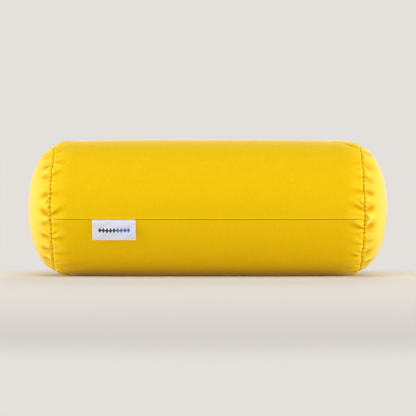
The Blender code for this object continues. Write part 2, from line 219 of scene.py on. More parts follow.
# ---------------------------------------------------------------------------------------------
# Concealed zip. Two woven tapes, each with a nylon coil, sewn behind the lengthwise seam. The
# slider has no pull, and rests by the label end.
# ---------------------------------------------------------------------------------------------
TAPE_YELLOW = (0.80, 0.50, 0.012, 1.0)
TAPE_DEEP = (0.62, 0.36, 0.006, 1.0)
TAPE_YARN = 0.0008
NYLON_YELLOW = (0.83, 0.56, 0.03, 1.0)
NYLON_DEEP = (0.66, 0.40, 0.015, 1.0)
CAST_GREY = (0.56, 0.56, 0.57, 1.0)
CAST_DULL = (0.34, 0.34, 0.35, 1.0)
# The seam thread is painted darker than the yellow cloth: painted shade where its stitches pull into
# the seams.
SHADED_SEAM_THREAD = (0.50, 0.29, 0.006, 1.0)
SHADED_SEAM_THREAD_DEEP = (0.30, 0.16, 0.004, 1.0)
NYLON_MARKS = 0.00003  # how deep the nylon is marked where it was drawn
CAST_PITS = 0.00004

zip_tape = woven("zip_tape_cloth", TAPE_YELLOW, TAPE_DEEP, TAPE_YARN, patch=0.004, Roughness=0.75,
                 Sheen_Weight=0.2)
shaded_seam_thread = sewing_thread("seam_thread_painted_shade", SHADED_SEAM_THREAD, SHADED_SEAM_THREAD_DEEP)

nylon, tree, shader = start_finish("nylon_coil", Roughness=0.38, Coat_Weight=0.15)
tree.links.new(dyed(tree, NYLON_YELLOW, NYLON_DEEP, patch=0.003, share=0.5),
               shader.inputs["Base Color"])
nylon_place = place(tree, "TexCoord")
draw_marks = place(tree, "TexNoise", {
    "Vector": nylon_place.outputs["Object"], "Scale": 2500.0, "Detail": 2.0})
raise_surface(tree, shader, draw_marks.outputs["Fac"], distance=NYLON_MARKS, strength=0.4)

cast_metal, tree, shader = start_finish("die_cast_metal", Metallic=1.0, Roughness=0.35)
tree.links.new(dyed(tree, CAST_GREY, CAST_DULL, patch=0.002, share=0.7), shader.inputs["Base Color"])
metal_place = place(tree, "TexCoord")
rubbed = place(tree, "TexNoise", {
    "Vector": metal_place.outputs["Object"], "Scale": 900.0, "Detail": 4.0})
rubbed_rough = place(tree, "MapRange", {
    "Value": rubbed.outputs["Fac"], "To Min": 0.25, "To Max": 0.5})
tree.links.new(rubbed_rough.outputs["Result"], shader.inputs["Roughness"])
raise_surface(tree, shader, rubbed.outputs["Fac"], distance=CAST_PITS, strength=0.3)

for name in ("zip_tape_upper", "zip_tape_lower"):
    nodes[name].data.materials[0] = zip_tape
for name in ("zip_coil_upper", "zip_coil_lower"):
    nodes[name].data.materials[0] = nylon
for name in ("zip_stitching_upper", "zip_stitching_lower", "zip_bar_tack_left", "zip_bar_tack_right"):
    nodes[name].data.materials[0] = shaded_seam_thread
nodes["zip_slider"].data.materials[0] = cast_metal


# ---------------------------------------------------------------------------------------------
# Cover side panel. One length of brushed stretch fabric wrapped round the bolster, its long
# edges turned in at the lengthwise seam. Both ends are cut wider than the end seams and are
# gathered into them, so creases run in from each gather over the stuffed shoulder.
# ---------------------------------------------------------------------------------------------
COLUMNS = 360  # round the girth
ROW = 0.0013  # between rows where the fabric creases
PAST_MIDDLE = 0.2  # from an end seam to beyond the barrel's middle
SMOOTH_ROWS = 30  # in half of the barrel
SIDE_CREASED = 0.034  # how far from an end seam the fabric is free to crease
SIDE_FIRM = 0.008  # the last of that, over which the barrel takes hold of it
SIDE_GATHER = (0.0036, 0.011)  # how deep the gathers draw it in, and how far they reach
SIDE_CUT = 0.0766  # the radius that the panel was cut to
CROWN_ROOM = 0.0001  # under the outside of its CAD solid
END_DRAW = 0.0010  # how much slimmer the barrel is where its shoulder starts
SHOULDER = 0.025
FABRIC = 0.0008
FOLD = 0.0007  # outer radius of a turned-in long edge
SLIT = 0.0003  # between the two long edges
SLIT_DEPTH = 0.0014
TURNED_IN = (0.0012, 0.0018, 0.002)  # at the end seams, in steps
EDGE_CLEAR = 0.0001  # from an end seam to the panel
UPPER_LIP = 0.0006  # how far the upper long edge stands up
LOWER_LIP = 0.0001  # how far the lower one lies down
GATHER_PITCH = 15.0  # degrees, where nothing says where the gathers pinch
TURNED_AWAY = 0.15  # radians from the lengthwise seam, within which a gather slants away from it
FAN_CLEAR = 0.12  # radians from it, within which no fan of a gather starts
CREASE_WIDTH = 0.0013  # across half a crease at the seam
CREASE_SPREAD = 0.11  # how much wider it gets with each length away
PIT_WIDTH = 0.0016  # the same of an end panel's pits, and how much wider they are at their bottoms
PIT_SPREAD = 0.0022
PIT_FLAT = 0.35  # how deep a pit's gather is away from its bottom, and at it, in shares
PIT_DEEP = 0.9
RIDGE_SHARE = 0.5  # how high the ridges beside a gather stand, in shares of its depth
RIDGE_OUT = 2.0  # how far out they are, and how wide, in widths of the crease
RIDGE_WIDTH = 0.8
RIDGE_START = 0.001  # away from the seam
PUFF = 0.10  # how far it swells between the gathers, in shares of their depth
SEAM_WAVER = 0.00028
WAVER_REACH = 0.012
STITCH_COLUMNS = 4
STITCH_PULL = 0.0020  # how much further in it is at a stitch than between two
STITCH_SWELL = 0.0005  # how far out it is between two
STITCH_REACH = 0.0020
HELD_SLOPE = 1.6  # how fast valleys and ridges get firmer as they get deeper
HELD_START = 0.2  # what that leaves out, so that shallow ones stay free
HELD_MOST = 0.9
PRESSURE = 900  # of the fill
SETTLING = 8  # in steps
MOST_MOVED = 0.004
NEAR_COLUMNS = 11  # on each side, which a crease or a ridge is told from
FULL_CREASE = 0.0048  # twice the depth at which a crease's painted shade is as dark as it gets
CREASE_MARKED = 0.030  # from the seam to where the painted crease shade and ridge highlight end
PRESS_ROUND = 0.0005  # how softly its underside turns flat
PRESS_SUNK = 0.00003
PILE_HEIGHT = 0.0003

YELLOW = (0.88, 0.575, 0.0012, 1.0)
YELLOW_DEEP = (0.80, 0.495, 0.0008, 1.0)
PILE_SHADE = (0.76, 0.475, 0.0010, 1.0)  # between the brushed fibres
CREASE_PAINTED_SHADE = (0.70, 0.40, 0.0004, 1.0)  # painted shade, deepest in the creases and the turned-in edges
DOME_PAINTED_SHEEN = (0.93, 0.80, 0.28, 1.0)  # painted sheen, paling the domes towards their middles
DOME_SHEEN_SHARE = 0.45  # how far the painted sheen pales the domes at their middles
CREST_PAINTED_HIGHLIGHT = (0.99, 0.80, 0.07, 1.0)  # painted highlight on the ridges beside each gather

end_low, end_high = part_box("cover_end_panel_right")
thread_low, thread_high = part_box("cover_seam_thread_right")
end_seam = (side_high.x + end_low.x) / 2
seam_radius = end_high.y
seam_drop = math.atan2(axis_height - (thread_low.z + thread_high.z) / 2,
                       -(thread_low.y + thread_high.y) / 2)
turns = seam_drop + np.arange(COLUMNS) * 2 * math.pi / COLUMNS

# Where the gathers of each end seam pinch, in degrees above the front's widest line.
PINCHES = {
    -1.0: [55.6, 44.1, 29.1, 13.2, -6.4, -13.9, -28.0, -42.6, -58.7],
    1.0: [62.9, 42.9, 29.1, 15.1, -1.8, -18.7, -33.2, -47.9, -64.6],
}


def all_pinches(side, seed):
    """Every gather round an end seam: its angle below the front line, strength and slant."""
    dice = np.random.default_rng(seed)
    angles = [-angle for angle in PINCHES[side]]
    angle = max(angles) + GATHER_PITCH
    while angle < min(angles) + 360 - GATHER_PITCH / 2:
        angles.append(angle + dice.uniform(-3, 3))
        angle += GATHER_PITCH * dice.uniform(0.8, 1.2)
    creases = []
    for angle in np.radians(angles):
        strength = dice.uniform(0.75, 1.15)
        slant = dice.uniform(-0.45, 0.45)
        from_long_seam = angle - seam_drop
        if abs(from_long_seam) < TURNED_AWAY:
            slant = math.copysign(slant, from_long_seam)
        creases.append((angle, strength, slant))
        for fan in (-1, 1):
            beside = angle + fan * dice.uniform(0.03, 0.08)
            fanned = (beside, strength * dice.uniform(0.35, 0.7), slant + fan * dice.uniform(0.2, 0.8))
            if dice.random() < 0.9 and abs(beside - seam_drop) > FAN_CLEAR:
                creases.append(fanned)
    return creases


def gathered(turn, run, creases, depth, reach, pit=0.0):
    """How far the cloth is drawn in at an angle, a run away from the seam, by its gathers."""
    drawn = np.zeros(np.broadcast(turn, run).shape)
    raised = np.zeros(drawn.shape)
    for angle, strength, slant in creases:
        apart = np.remainder(turn - angle + math.pi, 2 * math.pi) - math.pi
        across = apart * seam_radius - slant * run
        width = CREASE_WIDTH + CREASE_SPREAD * run
        fade = np.exp(-((run / (reach * strength)) ** 1.3))
        if pit:
            width = PIT_WIDTH + PIT_SPREAD * run / pit
            fade = PIT_FLAT * fade + PIT_DEEP * ((run / pit) * np.exp(1 - run / pit)) ** 2
        drawn = np.maximum(drawn, strength * fade * np.exp(-((across / width) ** 2)))
        beside = (np.abs(across) - RIDGE_OUT * width) / (RIDGE_WIDTH * width)
        raised = np.maximum(raised, strength * fade * np.exp(-(beside ** 2)))
    ridges = RIDGE_SHARE * raised * (1 - drawn) * (1 - np.exp(-run / RIDGE_START))
    puff = PUFF * np.exp(-((run / (0.6 * reach)) ** 2))
    return depth * (drawn - ridges - puff)


def seam_waver(side, run):
    """How far an end seam wavers along the bolster, fading away from it."""
    wave = np.sin(5 * turns + side) + 0.8 * np.sin(11 * turns + 2 * side) + 0.7 * np.sin(23 * turns)
    return SEAM_WAVER * wave[:, None] * np.exp(-((run / WAVER_REACH) ** 2))


def stitch_dip(run):
    """How far each stitch of an end seam pulls the fabric in beside it."""
    by_stitch = (np.arange(COLUMNS) % STITCH_COLUMNS == STITCH_COLUMNS // 2)[:, None]
    return (STITCH_PULL * by_stitch - STITCH_SWELL) * np.exp(-((run / STITCH_REACH) ** 2))


def firmness(run, creased, firm, drawn, depth):
    """How firmly each place is held: past the creases fully, and in valleys and ridges partly."""
    past = np.clip((run - creased + firm) / firm, 0, 1)
    return np.maximum(past, np.clip(HELD_SLOPE * np.abs(drawn) / depth - HELD_START, 0, HELD_MOST))


def side_radius(x):
    """The stuffed side panel's radius: a barrel a little fuller in its middle, and its shoulders."""
    x = abs(x)
    shoulder_start = end_seam - SHOULDER
    barrel = barrel_radius - CROWN_ROOM - END_DRAW * min(1.0, x / shoulder_start) ** 3
    if x <= shoulder_start:
        return barrel
    across = min(1.0, (x - shoulder_start) / SHOULDER)
    return barrel - (barrel - seam_radius) * (1 - math.sqrt(1 - across * across))


def spaced(outline, runs):
    """Points of a dense (x, radius) outline at these distances along it, and those distances."""
    dense = np.array(outline)
    length = np.concatenate([[0], np.cumsum(np.hypot(*np.diff(dense, axis=0).T))])
    runs = np.array([run for run in runs if run < length[-1] - 0.0005] + [length[-1]])
    return np.column_stack([np.interp(runs, length, dense[:, i]) for i in (0, 1)]), runs


def round_axis(x, radius):
    """Places for each column and row, from their x and radius."""
    x, radius, turn = np.broadcast_arrays(x, radius, turns[:, None])
    return np.stack([x, -radius * np.cos(turn), -radius * np.sin(turn)], axis=2)


def turned_sheet(profile):
    """A sheet turned about the bolster's axis from (x, radius) points, one column after another."""
    sheet = bmesh.new()
    start = turns[0]
    line = [sheet.verts.new((x, -radius * math.cos(start), -radius * math.sin(start)))
            for x, radius in profile]
    edges = [sheet.edges.new(pair) for pair in zip(line, line[1:])]
    bmesh.ops.spin(sheet, geom=line + edges, cent=(0, 0, 0), axis=(1, 0, 0),
                   angle=2 * math.pi, steps=COLUMNS, use_merge=True)
    middle = min(sheet.faces, key=lambda face: abs(face.calc_center_median().x))
    middle.normal_update()
    if middle.normal.dot(middle.calc_center_median()) < 0:
        bmesh.ops.reverse_faces(sheet, faces=sheet.faces)
    column_of = sheet.verts.layers.int.new("column")
    sheet.verts.layers.float.new("crease")
    sheet.verts.ensure_lookup_table()
    for number, vertex in enumerate(sheet.verts):
        vertex[column_of] = number // len(profile)
    return sheet


def settled_cloth(sheet, shape, cut, held):
    """The sheet's places after the fill has pushed it out against its gathers.

    shape and cut hold a place for each column and row, as the piece starts and as it was cut.
    held is how firmly each is kept in place.
    """
    mesh = bpy.data.meshes.new("cloth")
    sheet.to_mesh(mesh)
    mesh.vertices.foreach_set("co", shape.reshape(-1).astype(np.float32))
    cloth = bpy.data.objects.new("cloth", mesh)
    bpy.context.scene.collection.objects.link(cloth)
    cloth.shape_key_add(name="shape")
    cut_key = cloth.shape_key_add(name="cut")
    cut_key.data.foreach_set("co", cut.reshape(-1).astype(np.float32))
    group = cloth.vertex_groups.new(name="held")
    for number, weight in enumerate(held.reshape(-1)):
        group.add([number], float(weight), "REPLACE")
    modifier = cloth.modifiers.new("cloth", "CLOTH")
    settings = modifier.settings
    settings.quality = 6
    settings.mass = 0.002
    settings.tension_stiffness = settings.compression_stiffness = 15
    settings.shear_stiffness = 6
    settings.bending_stiffness = 0.1
    settings.tension_damping = settings.compression_damping = settings.shear_damping = 5
    settings.use_pressure = True
    settings.uniform_pressure_force = PRESSURE
    settings.vertex_group_mass = "held"
    settings.pin_stiffness = 30
    settings.rest_shape_key = cut_key
    settings.effector_weights.gravity = 0
    modifier.collision_settings.use_collision = False
    modifier.point_cache.frame_end = SETTLING
    for step in range(1, SETTLING + 1):
        bpy.context.scene.frame_set(step)
    settled = cloth.evaluated_get(bpy.context.evaluated_depsgraph_get()).to_mesh()
    places = np.empty(len(settled.vertices) * 3, np.float32)
    settled.vertices.foreach_get("co", places)
    bpy.data.objects.remove(cloth)
    bpy.context.scene.frame_set(1)
    moved = places.reshape(shape.shape) - shape
    far = np.linalg.norm(moved, axis=2, keepdims=True)
    return shape + moved * np.minimum(1, MOST_MOVED / np.maximum(far, 1e-9))


def lay(sheet, shape, run):
    """Lays the sheet's rows and columns in their shape, and marks its creases and ridges for painted
    shade and painted highlight.
    """
    crease_of = sheet.verts.layers.float["crease"]
    radius = np.hypot(shape[:, :, 1], shape[:, :, 2])
    shifts = range(-NEAR_COLUMNS, NEAR_COLUMNS + 1)
    near = sum(np.roll(radius, shift, axis=0) for shift in shifts) / len(shifts)
    crease = 0.5 + (near - radius) / FULL_CREASE * np.exp(-((run / CREASE_MARKED) ** 4))
    rows = shape.shape[1]
    for number, vertex in enumerate(sheet.verts):
        column, row = divmod(number, rows)
        vertex.co = shape[column, row]
        vertex[crease_of] = min(1.0, max(0.0, crease[column, row]))


def turn_in(sheet, edges):
    """Turns an end edge in towards the axis, in steps, marked for the darkest painted crease shade."""
    crease_of = sheet.verts.layers.float["crease"]
    for drop in TURNED_IN:
        made = bmesh.ops.extrude_edge_only(sheet, edges=edges)["geom"]
        for item in made:
            if isinstance(item, bmesh.types.BMVert):
                item.co -= Vector((0, item.co.y, item.co.z)).normalized() * drop
                item[crease_of] = 1.0
        edges = [item for item in made if isinstance(item, bmesh.types.BMEdge) and item.is_boundary]


def press_flat(sheet):
    """Lifts a sheet to the pillow's axis and presses it flat where it rests."""
    for vertex in sheet.verts:
        z = vertex.co.z + axis_height
        vertex.co.z = (z + math.sqrt(z * z + PRESS_ROUND ** 2)) / 2 - PRESS_SUNK


def finished_sheet(name, sheet, thickness, finish, body="bolster"):
    """The finished piece of a sheet: its wall, its finish and the body that it moves with."""
    mesh = bpy.data.meshes.new(name)
    sheet.to_mesh(mesh)
    sheet.free()
    mesh.shade_smooth()
    mesh.materials.append(finish)
    piece = bpy.data.objects.new(name, mesh)
    bpy.context.scene.collection.objects.link(piece)
    wall = piece.modifiers.new("wall", "SOLIDIFY")
    wall.thickness = thickness
    wall.offset = -1.0
    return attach(piece, body)


def brushed_fabric(name, sheen):
    """The brushed fabric: sheen is how much its pile shines where it is seen from the side."""
    finish, tree, shader = start_finish(name, Roughness=0.85, Specular_IOR_Level=0.08,
                                        Sheen_Weight=sheen, Sheen_Roughness=0.28,
                                        Sheen_Tint=(1.0, 0.96, 0.70, 1.0))
    # The crease mark paints shade into the creases and a highlight onto the ridges beside them.
    creasing = place(tree, "Attribute", attribute_name="crease")
    crease_shade_share = place(tree, "MapRange", {"Value": creasing.outputs["Fac"], "From Min": 0.5})
    crest_highlight_share = place(tree, "MapRange", {"Value": creasing.outputs["Fac"], "From Min": 0.5,
                                        "From Max": 0.0, "To Max": 0.7})
    at = place(tree, "TexCoord")
    pile = place(tree, "TexNoise", {"Vector": at.outputs["Object"], "Scale": 380.0, "Detail": 5.0,
                                    "Roughness": 0.75})
    pile_lie = place(tree, "MapRange", {"Value": pile.outputs["Fac"], "From Min": 0.35,
                                        "From Max": 0.75, "To Max": 0.8})
    brushed = place(tree, "Mix", {0: pile_lie.outputs["Result"], 7: PILE_SHADE,
                                  6: dyed(tree, YELLOW, YELLOW_DEEP, patch=0.012, share=0.8)},
                    data_type="RGBA")
    # The domes are painted paler towards their middles: painted sheen.
    parts = place(tree, "SeparateXYZ", {0: at.outputs["Object"]})
    out = place(tree, "Math", {0: parts.outputs["X"]}, operation="ABSOLUTE")
    sheen_towards_pole = place(tree, "MapRange", {"Value": out.outputs[0], "From Min": end_seam,
                                         "From Max": end_high.x, "To Max": DOME_SHEEN_SHARE})
    with_dome_sheen = place(tree, "Mix", {0: sheen_towards_pole.outputs["Result"], 6: brushed.outputs[2],
                                 7: DOME_PAINTED_SHEEN}, data_type="RGBA")
    # Painted shade in the creases, then a painted highlight on the ridges.
    creased = place(tree, "Mix", {0: crease_shade_share.outputs["Result"], 6: with_dome_sheen.outputs[2],
                                  7: CREASE_PAINTED_SHADE}, data_type="RGBA")
    with_crest_highlight = place(tree, "Mix", {0: crest_highlight_share.outputs["Result"], 6: creased.outputs[2],
                                  7: CREST_PAINTED_HIGHLIGHT}, data_type="RGBA")
    tree.links.new(with_crest_highlight.outputs[2], shader.inputs["Base Color"])
    raise_surface(tree, shader, pile.outputs["Fac"], distance=PILE_HEIGHT, strength=0.4)
    return finish


side_fabric = brushed_fabric("brushed_side_fabric", sheen=0.45)
creases = {-1.0: all_pinches(-1.0, seed=3), 1.0: all_pinches(1.0, seed=5)}
shoulder_outline = [(x, side_radius(x)) for x in np.linspace(end_seam - EDGE_CLEAR, 0, 2000)]
runs = list(np.arange(0, SIDE_CREASED, ROW))
runs += list(np.linspace(SIDE_CREASED, PAST_MIDDLE, SMOOTH_ROWS))
half, half_runs = spaced(shoulder_outline, runs)
profile = np.concatenate([half * (-1, 1), half[-2::-1]])
run = np.concatenate([half_runs, half_runs[-2::-1]])
sheet = turned_sheet(profile)
side_of = np.sign(profile[:, 0])
drawn = np.where(side_of < 0, gathered(turns[:, None], run, creases[-1.0], *SIDE_GATHER),
                 gathered(turns[:, None], run, creases[1.0], *SIDE_GATHER))
waver = np.where(side_of < 0, seam_waver(-1.0, run), seam_waver(1.0, run))
shape = round_axis(profile[:, 0] + waver, profile[:, 1] - drawn - stitch_dip(run))
free = run < SIDE_CREASED
still_x = abs(profile[~free, 0]).max()
cut_x = np.where(free, side_of * (still_x + SIDE_CREASED - run), profile[:, 0])
cut = round_axis(cut_x, np.where(free, SIDE_CUT, profile[:, 1]))
held = firmness(run, SIDE_CREASED, SIDE_FIRM, drawn, SIDE_GATHER[0])
held[:, 0] = held[:, -1] = 1.0
shape = settled_cloth(sheet, shape, cut, held)
lay(sheet, shape, run)
turn_in(sheet, [edge for edge in sheet.edges if edge.is_boundary])

# The long edges come apart and are turned in.
column_of = sheet.verts.layers.int["column"]
sheet.normal_update()
outward = sheet.verts.layers.float_vector.new("outward")
for vertex in sheet.verts:
    vertex[outward] = vertex.normal
along_girth = Vector((0, math.sin(seam_drop), -math.cos(seam_drop)))
bmesh.ops.split_edges(sheet, edges=[
    edge for edge in sheet.edges if all(vertex[column_of] == 0 for vertex in edge.verts)])
for vertex in sheet.verts:
    if vertex[column_of] == 0 and any(
            corner[column_of] == COLUMNS - 1 for face in vertex.link_faces for corner in face.verts):
        vertex[column_of] = COLUMNS
beside_seam = ((1, -0.2 * LOWER_LIP), (COLUMNS - 1, 0.5 * UPPER_LIP), (COLUMNS - 2, 0.12 * UPPER_LIP))
for vertex in sheet.verts:
    for column, lift in beside_seam:
        if vertex[column_of] == column:
            vertex.co += vertex[outward] * lift
for edge_column, way, lip in ((0, 1.0, -LOWER_LIP), (COLUMNS, -1.0, UPPER_LIP)):
    edges = [edge for edge in sheet.edges
             if edge.is_boundary and all(vertex[column_of] == edge_column for vertex in edge.verts)]
    line = {vertex for edge in edges for vertex in edge.verts}
    fold = [(SLIT / 2 + FOLD * (1 - math.sin(bend)), lip - FOLD * (1 - math.cos(bend)))
            for bend in np.radians((0, 30, 60, 90))] + [(SLIT / 2, -SLIT_DEPTH)]
    at = (0.0, 0.0)
    for step in fold:
        if step is not fold[0]:
            made = bmesh.ops.extrude_edge_only(sheet, edges=edges)["geom"]
            line = {item for item in made if isinstance(item, bmesh.types.BMVert)}
            edges = [item for item in made if isinstance(item, bmesh.types.BMEdge)
                     and item.is_boundary and all(vertex in line for vertex in item.verts)]
        for vertex in line:
            vertex.co += along_girth * way * (step[0] - at[0]) + vertex[outward] * (step[1] - at[1])
        at = step
press_flat(sheet)
cover_side = finished_sheet("cover_side", sheet, FABRIC, side_fabric)
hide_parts("cover_side_panel")


# ---------------------------------------------------------------------------------------------
# Cover end panels. Round pieces of the same fabric, cut wider than the end seams and gathered
# into them. The fill domes them, and beside the seam it leaves a pit at each gather.
# ---------------------------------------------------------------------------------------------
END_CREASED = 0.024
END_FIRM = 0.006
END_FIRST_ROW = 0.0006
END_GATHER = (0.0037, 0.010)
END_UNGATHERED = 0.05  # from the seam to where no gather reaches
END_PIT = 0.0060  # from the seam to the bottom of the pits
END_LIP = 0.0008  # how far the panel rounds down into the seam
END_LIP_REACH = 0.0012
END_BEND = 0.003  # out from the seam, where its outline turns fastest
PAST_POLE = 0.085  # from the seam to beyond the dome's middle
DOME_ROWS = 22
END_MERGED = 0.00001  # within which the places at the dome's middle are one
SEAM_LINE = 0.0002  # from the middle of the seam to the panel
RIM = 0.005  # out from the seam, where only the panel's edge lies

end_fabric = brushed_fabric("brushed_end_fabric", sheen=1.0)
dome_depth = end_high.x - end_seam
end_outline = []
dome_turns = np.linspace(math.asin(END_BEND / dome_depth), math.pi / 2, 1500)
for reach in np.concatenate([np.linspace(0, END_BEND, 60), dome_depth * np.sin(dome_turns)[1:]]):
    lip = END_LIP * max(0.0, 1 - reach / END_LIP_REACH) ** 2
    dome = seam_radius * math.sqrt(max(0.0, 1 - (reach / dome_depth) ** 2))
    end_outline.append((end_seam + SEAM_LINE + reach * (1 - SEAM_LINE / dome_depth), dome - lip))
runs = [0, END_FIRST_ROW] + list(np.arange(ROW, END_CREASED, ROW))
runs += list(np.linspace(END_CREASED, PAST_POLE, DOME_ROWS))
end_profile, run = spaced(end_outline, runs)
end_profile[-1] = (end_high.x, 0.0)
free = run < END_CREASED
cut_radius = np.where(free, end_profile[~free][0][1] + END_CREASED - run, end_profile[:, 1])
cut_x = np.where(free, end_profile[~free][0][0], end_profile[:, 0])
for side, hand in ((-1.0, "left"), (1.0, "right")):
    sheet = turned_sheet(end_profile * (side, 1))
    outer = max(sheet.faces, key=lambda face: face.calc_area())
    outer.normal_update()
    if outer.normal.x * side < 0:
        bmesh.ops.reverse_faces(sheet, faces=sheet.faces)
    drawn = gathered(turns[:, None], run, creases[side], *END_GATHER, pit=END_PIT)
    shape = round_axis(side * end_profile[:, 0] + seam_waver(side, run),
                       end_profile[:, 1] - drawn * (run < END_UNGATHERED) - stitch_dip(run))
    cut = round_axis(side * cut_x, cut_radius)
    held = firmness(run, END_CREASED, END_FIRM, drawn, END_GATHER[0])
    held[:, :3] = 1.0
    shape = settled_cloth(sheet, shape, cut, held)
    lay(sheet, shape, run)
    rim = [edge for edge in sheet.edges if edge.is_boundary
           and all(abs(vertex.co.x) < end_seam + RIM for vertex in edge.verts)]
    turn_in(sheet, rim)
    bmesh.ops.remove_doubles(sheet, verts=sheet.verts, dist=END_MERGED)
    press_flat(sheet)
    cover_end = finished_sheet("cover_end_" + hand, sheet, FABRIC, end_fabric)
    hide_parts("cover_end_panel_" + hand)


# ---------------------------------------------------------------------------------------------
# End seam stitches. Lock stitches of polyester thread, pulled down between the two panels so
# that only the top of each shows. The thread is painted dark, as painted shade in the seam.
# ---------------------------------------------------------------------------------------------
STITCH_SIZE = (0.0018, 0.0010, 0.0006)  # across its seam, along it and outward
STITCH_SUNK = 0.0012  # below the cloth
STITCH_CLEAR = 0.0006  # over what the pillow lies on


def stitched(name, places, size, finish):
    """A row of stitches, each lying across its seam at (place, outward, across)."""
    row = bmesh.new()
    for at, outward, across in places:
        along = outward.cross(across)
        turned = bmesh.ops.create_uvsphere(row, u_segments=8, v_segments=6, radius=0.5)["verts"]
        for vertex in turned:
            local = vertex.co
            vertex.co = at + across * local.x * size[0] + along * local.y * size[1] + \
                outward * local.z * size[2]
    bmesh.ops.recalc_face_normals(row, faces=row.faces)
    mesh = bpy.data.meshes.new(name)
    row.to_mesh(mesh)
    row.free()
    mesh.shade_smooth()
    mesh.materials.append(finish)
    piece = bpy.data.objects.new(name, mesh)
    bpy.context.scene.collection.objects.link(piece)
    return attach(piece, "bolster")


for side, hand in ((-1.0, "left"), (1.0, "right")):
    places = []
    waver = seam_waver(side, 0.0)[:, 0]
    for column in range(STITCH_COLUMNS // 2, COLUMNS, STITCH_COLUMNS):
        turn = turns[column]
        radius = seam_radius - STITCH_SUNK - float(gathered(turn, 0.0, creases[side], *SIDE_GATHER))
        outward = Vector((0, -math.cos(turn), -math.sin(turn)))
        at = Vector((side * end_seam + waver[column], 0, axis_height)) + outward * radius
        at.z = max(at.z, STITCH_CLEAR)
        places.append((at, outward, Vector((1, 0, 0))))
    stitches = stitched("end_seam_stitches_" + hand, places, STITCH_SIZE, shaded_seam_thread)
    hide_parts("cover_end_thread_" + hand)


# ---------------------------------------------------------------------------------------------
# Lengthwise seam stitches. The seam is sewn shut at both ends of the zip, with the stitches
# down between its turned-in edges.
# ---------------------------------------------------------------------------------------------
CLOSED_STITCH = 0.0025  # from one to the next
CLOSED_SIZE = (0.0006, 0.0014, 0.0003)
CLOSED_INSET = 0.001  # from the ends of the row
outward = Vector((0, -math.cos(seam_drop), -math.sin(seam_drop)))
for hand in ("left", "right"):
    low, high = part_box("cover_seam_thread_" + hand)
    middle = (low + high) / 2
    count = int((high.x - low.x) / CLOSED_STITCH)
    places = [(Vector((x, middle.y, middle.z)), outward, along_girth)
              for x in np.linspace(low.x + CLOSED_INSET, high.x - CLOSED_INSET, count)]
    stitches = stitched("long_seam_stitches_" + hand, places, CLOSED_SIZE, shaded_seam_thread)
    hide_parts("cover_seam_thread_" + hand)


# ---------------------------------------------------------------------------------------------
# Woven label. A white woven ribbon folded double, its top edge sewn into the lengthwise seam.
# It hangs from that edge, a little clear of the fabric, and carries a row of woven lozenges.
# ---------------------------------------------------------------------------------------------
LABEL_WHITE = (0.76, 0.785, 0.93, 1.0)
LABEL_SHADE = (0.66, 0.68, 0.83, 1.0)
LABEL_BORDER = (0.82, 0.86, 1.0, 1.0)
LABEL_CHARCOAL = (0.025, 0.025, 0.03, 1.0)
LABEL_BLUE = (0.015, 0.16, 0.62, 1.0)
LABEL_RIBBON = 0.0004
LABEL_DROP = 0.0212  # from where it comes out of the seam
LABEL_OUT = 0.0006  # below the middle of the seam
LABEL_UNDER = 0.0007  # how far under the fabric it starts
LABEL_LIFT = 0.0020  # how far it then bends out
LABEL_BEND = 0.04  # how soon, in shares of its drop
LABEL_LEAN = 0.0018  # how much further out its lower edge is
LABEL_FOLD = 0.00050
LABEL_RIPPLE = 0.00025
LABEL_COLUMNS = 46
LABEL_ROWS = 24
LABEL_HEM = 0.0011
LABEL_RELIEF = 0.00012
LABEL_YARN = 0.0005
TAIL_RIBBON = 0.0003
TAIL_DEPTH = 0.0012
TAIL_ROWS = 3
LOZENGES = 9
LOZENGE_RUN = (0.13, 0.75)  # the start and length of their row, in shares of the label's width
LOZENGE_LEVEL = 0.49  # their height on the label, and half of their own, in shares of its drop
LOZENGE_HALF = 0.13
LOZENGE_SLOPE = 1.9  # at 2 they would only touch each other at their points

label_low, label_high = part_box("woven_label")
tail_low, tail_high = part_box("woven_label_tail")
label_width = label_high.x - label_low.x

ribbon, tree, shader = start_finish("label_ribbon_cloth", Roughness=0.45, Sheen_Weight=0.15,
                                    Specular_IOR_Level=0.4)
ribbon_place = place(tree, "UVMap", uv_map="ribbon")
parts = place(tree, "SeparateXYZ", {0: ribbon_place.outputs[0]})
# How far along and down the ribbon a place is, and how near its nearest edge, in metres.
lengths = []
edges = []
for part, length in (("X", label_width), ("Y", LABEL_DROP)):
    lengths.append(place(tree, "Math", {0: parts.outputs[part], 1: length}, operation="MULTIPLY"))
    off_middle = place(tree, "Math", {0: parts.outputs[part], 1: 0.5}, operation="SUBTRACT")
    far = place(tree, "Math", {0: off_middle.outputs[0]}, operation="ABSOLUTE")
    to_edge = place(tree, "Math", {0: 0.5, 1: far.outputs[0]}, operation="SUBTRACT")
    edges.append(place(tree, "Math", {0: to_edge.outputs[0], 1: length}, operation="MULTIPLY"))
threads = place(tree, "Group", {"Along": lengths[0].outputs[0], "Round": lengths[1].outputs[0],
                                "Yarn": LABEL_YARN}, node_tree=plain_weave)
to_edge = place(tree, "Math", {0: edges[0].outputs[0], 1: edges[1].outputs[0]}, operation="MINIMUM")
border = place(tree, "Math", {0: to_edge.outputs[0], 1: LABEL_HEM}, operation="LESS_THAN")
in_row = place(tree, "MapRange", {"Value": parts.outputs["X"], "From Min": LOZENGE_RUN[0],
                                  "From Max": sum(LOZENGE_RUN), "To Max": LOZENGES}, clamp=False)
one = place(tree, "Math", {0: in_row.outputs["Result"]}, operation="FRACT")
beside = place(tree, "Math", {0: one.outputs[0], 1: 0.5}, operation="SUBTRACT")
beside_half = place(tree, "Math", {0: beside.outputs[0]}, operation="ABSOLUTE")
above = place(tree, "Math", {0: parts.outputs["Y"], 1: LOZENGE_LEVEL}, operation="SUBTRACT")
above_half = place(tree, "Math", {0: above.outputs[0]}, operation="ABSOLUTE")
above_share = place(tree, "Math", {0: above_half.outputs[0], 1: LOZENGE_HALF}, operation="DIVIDE")
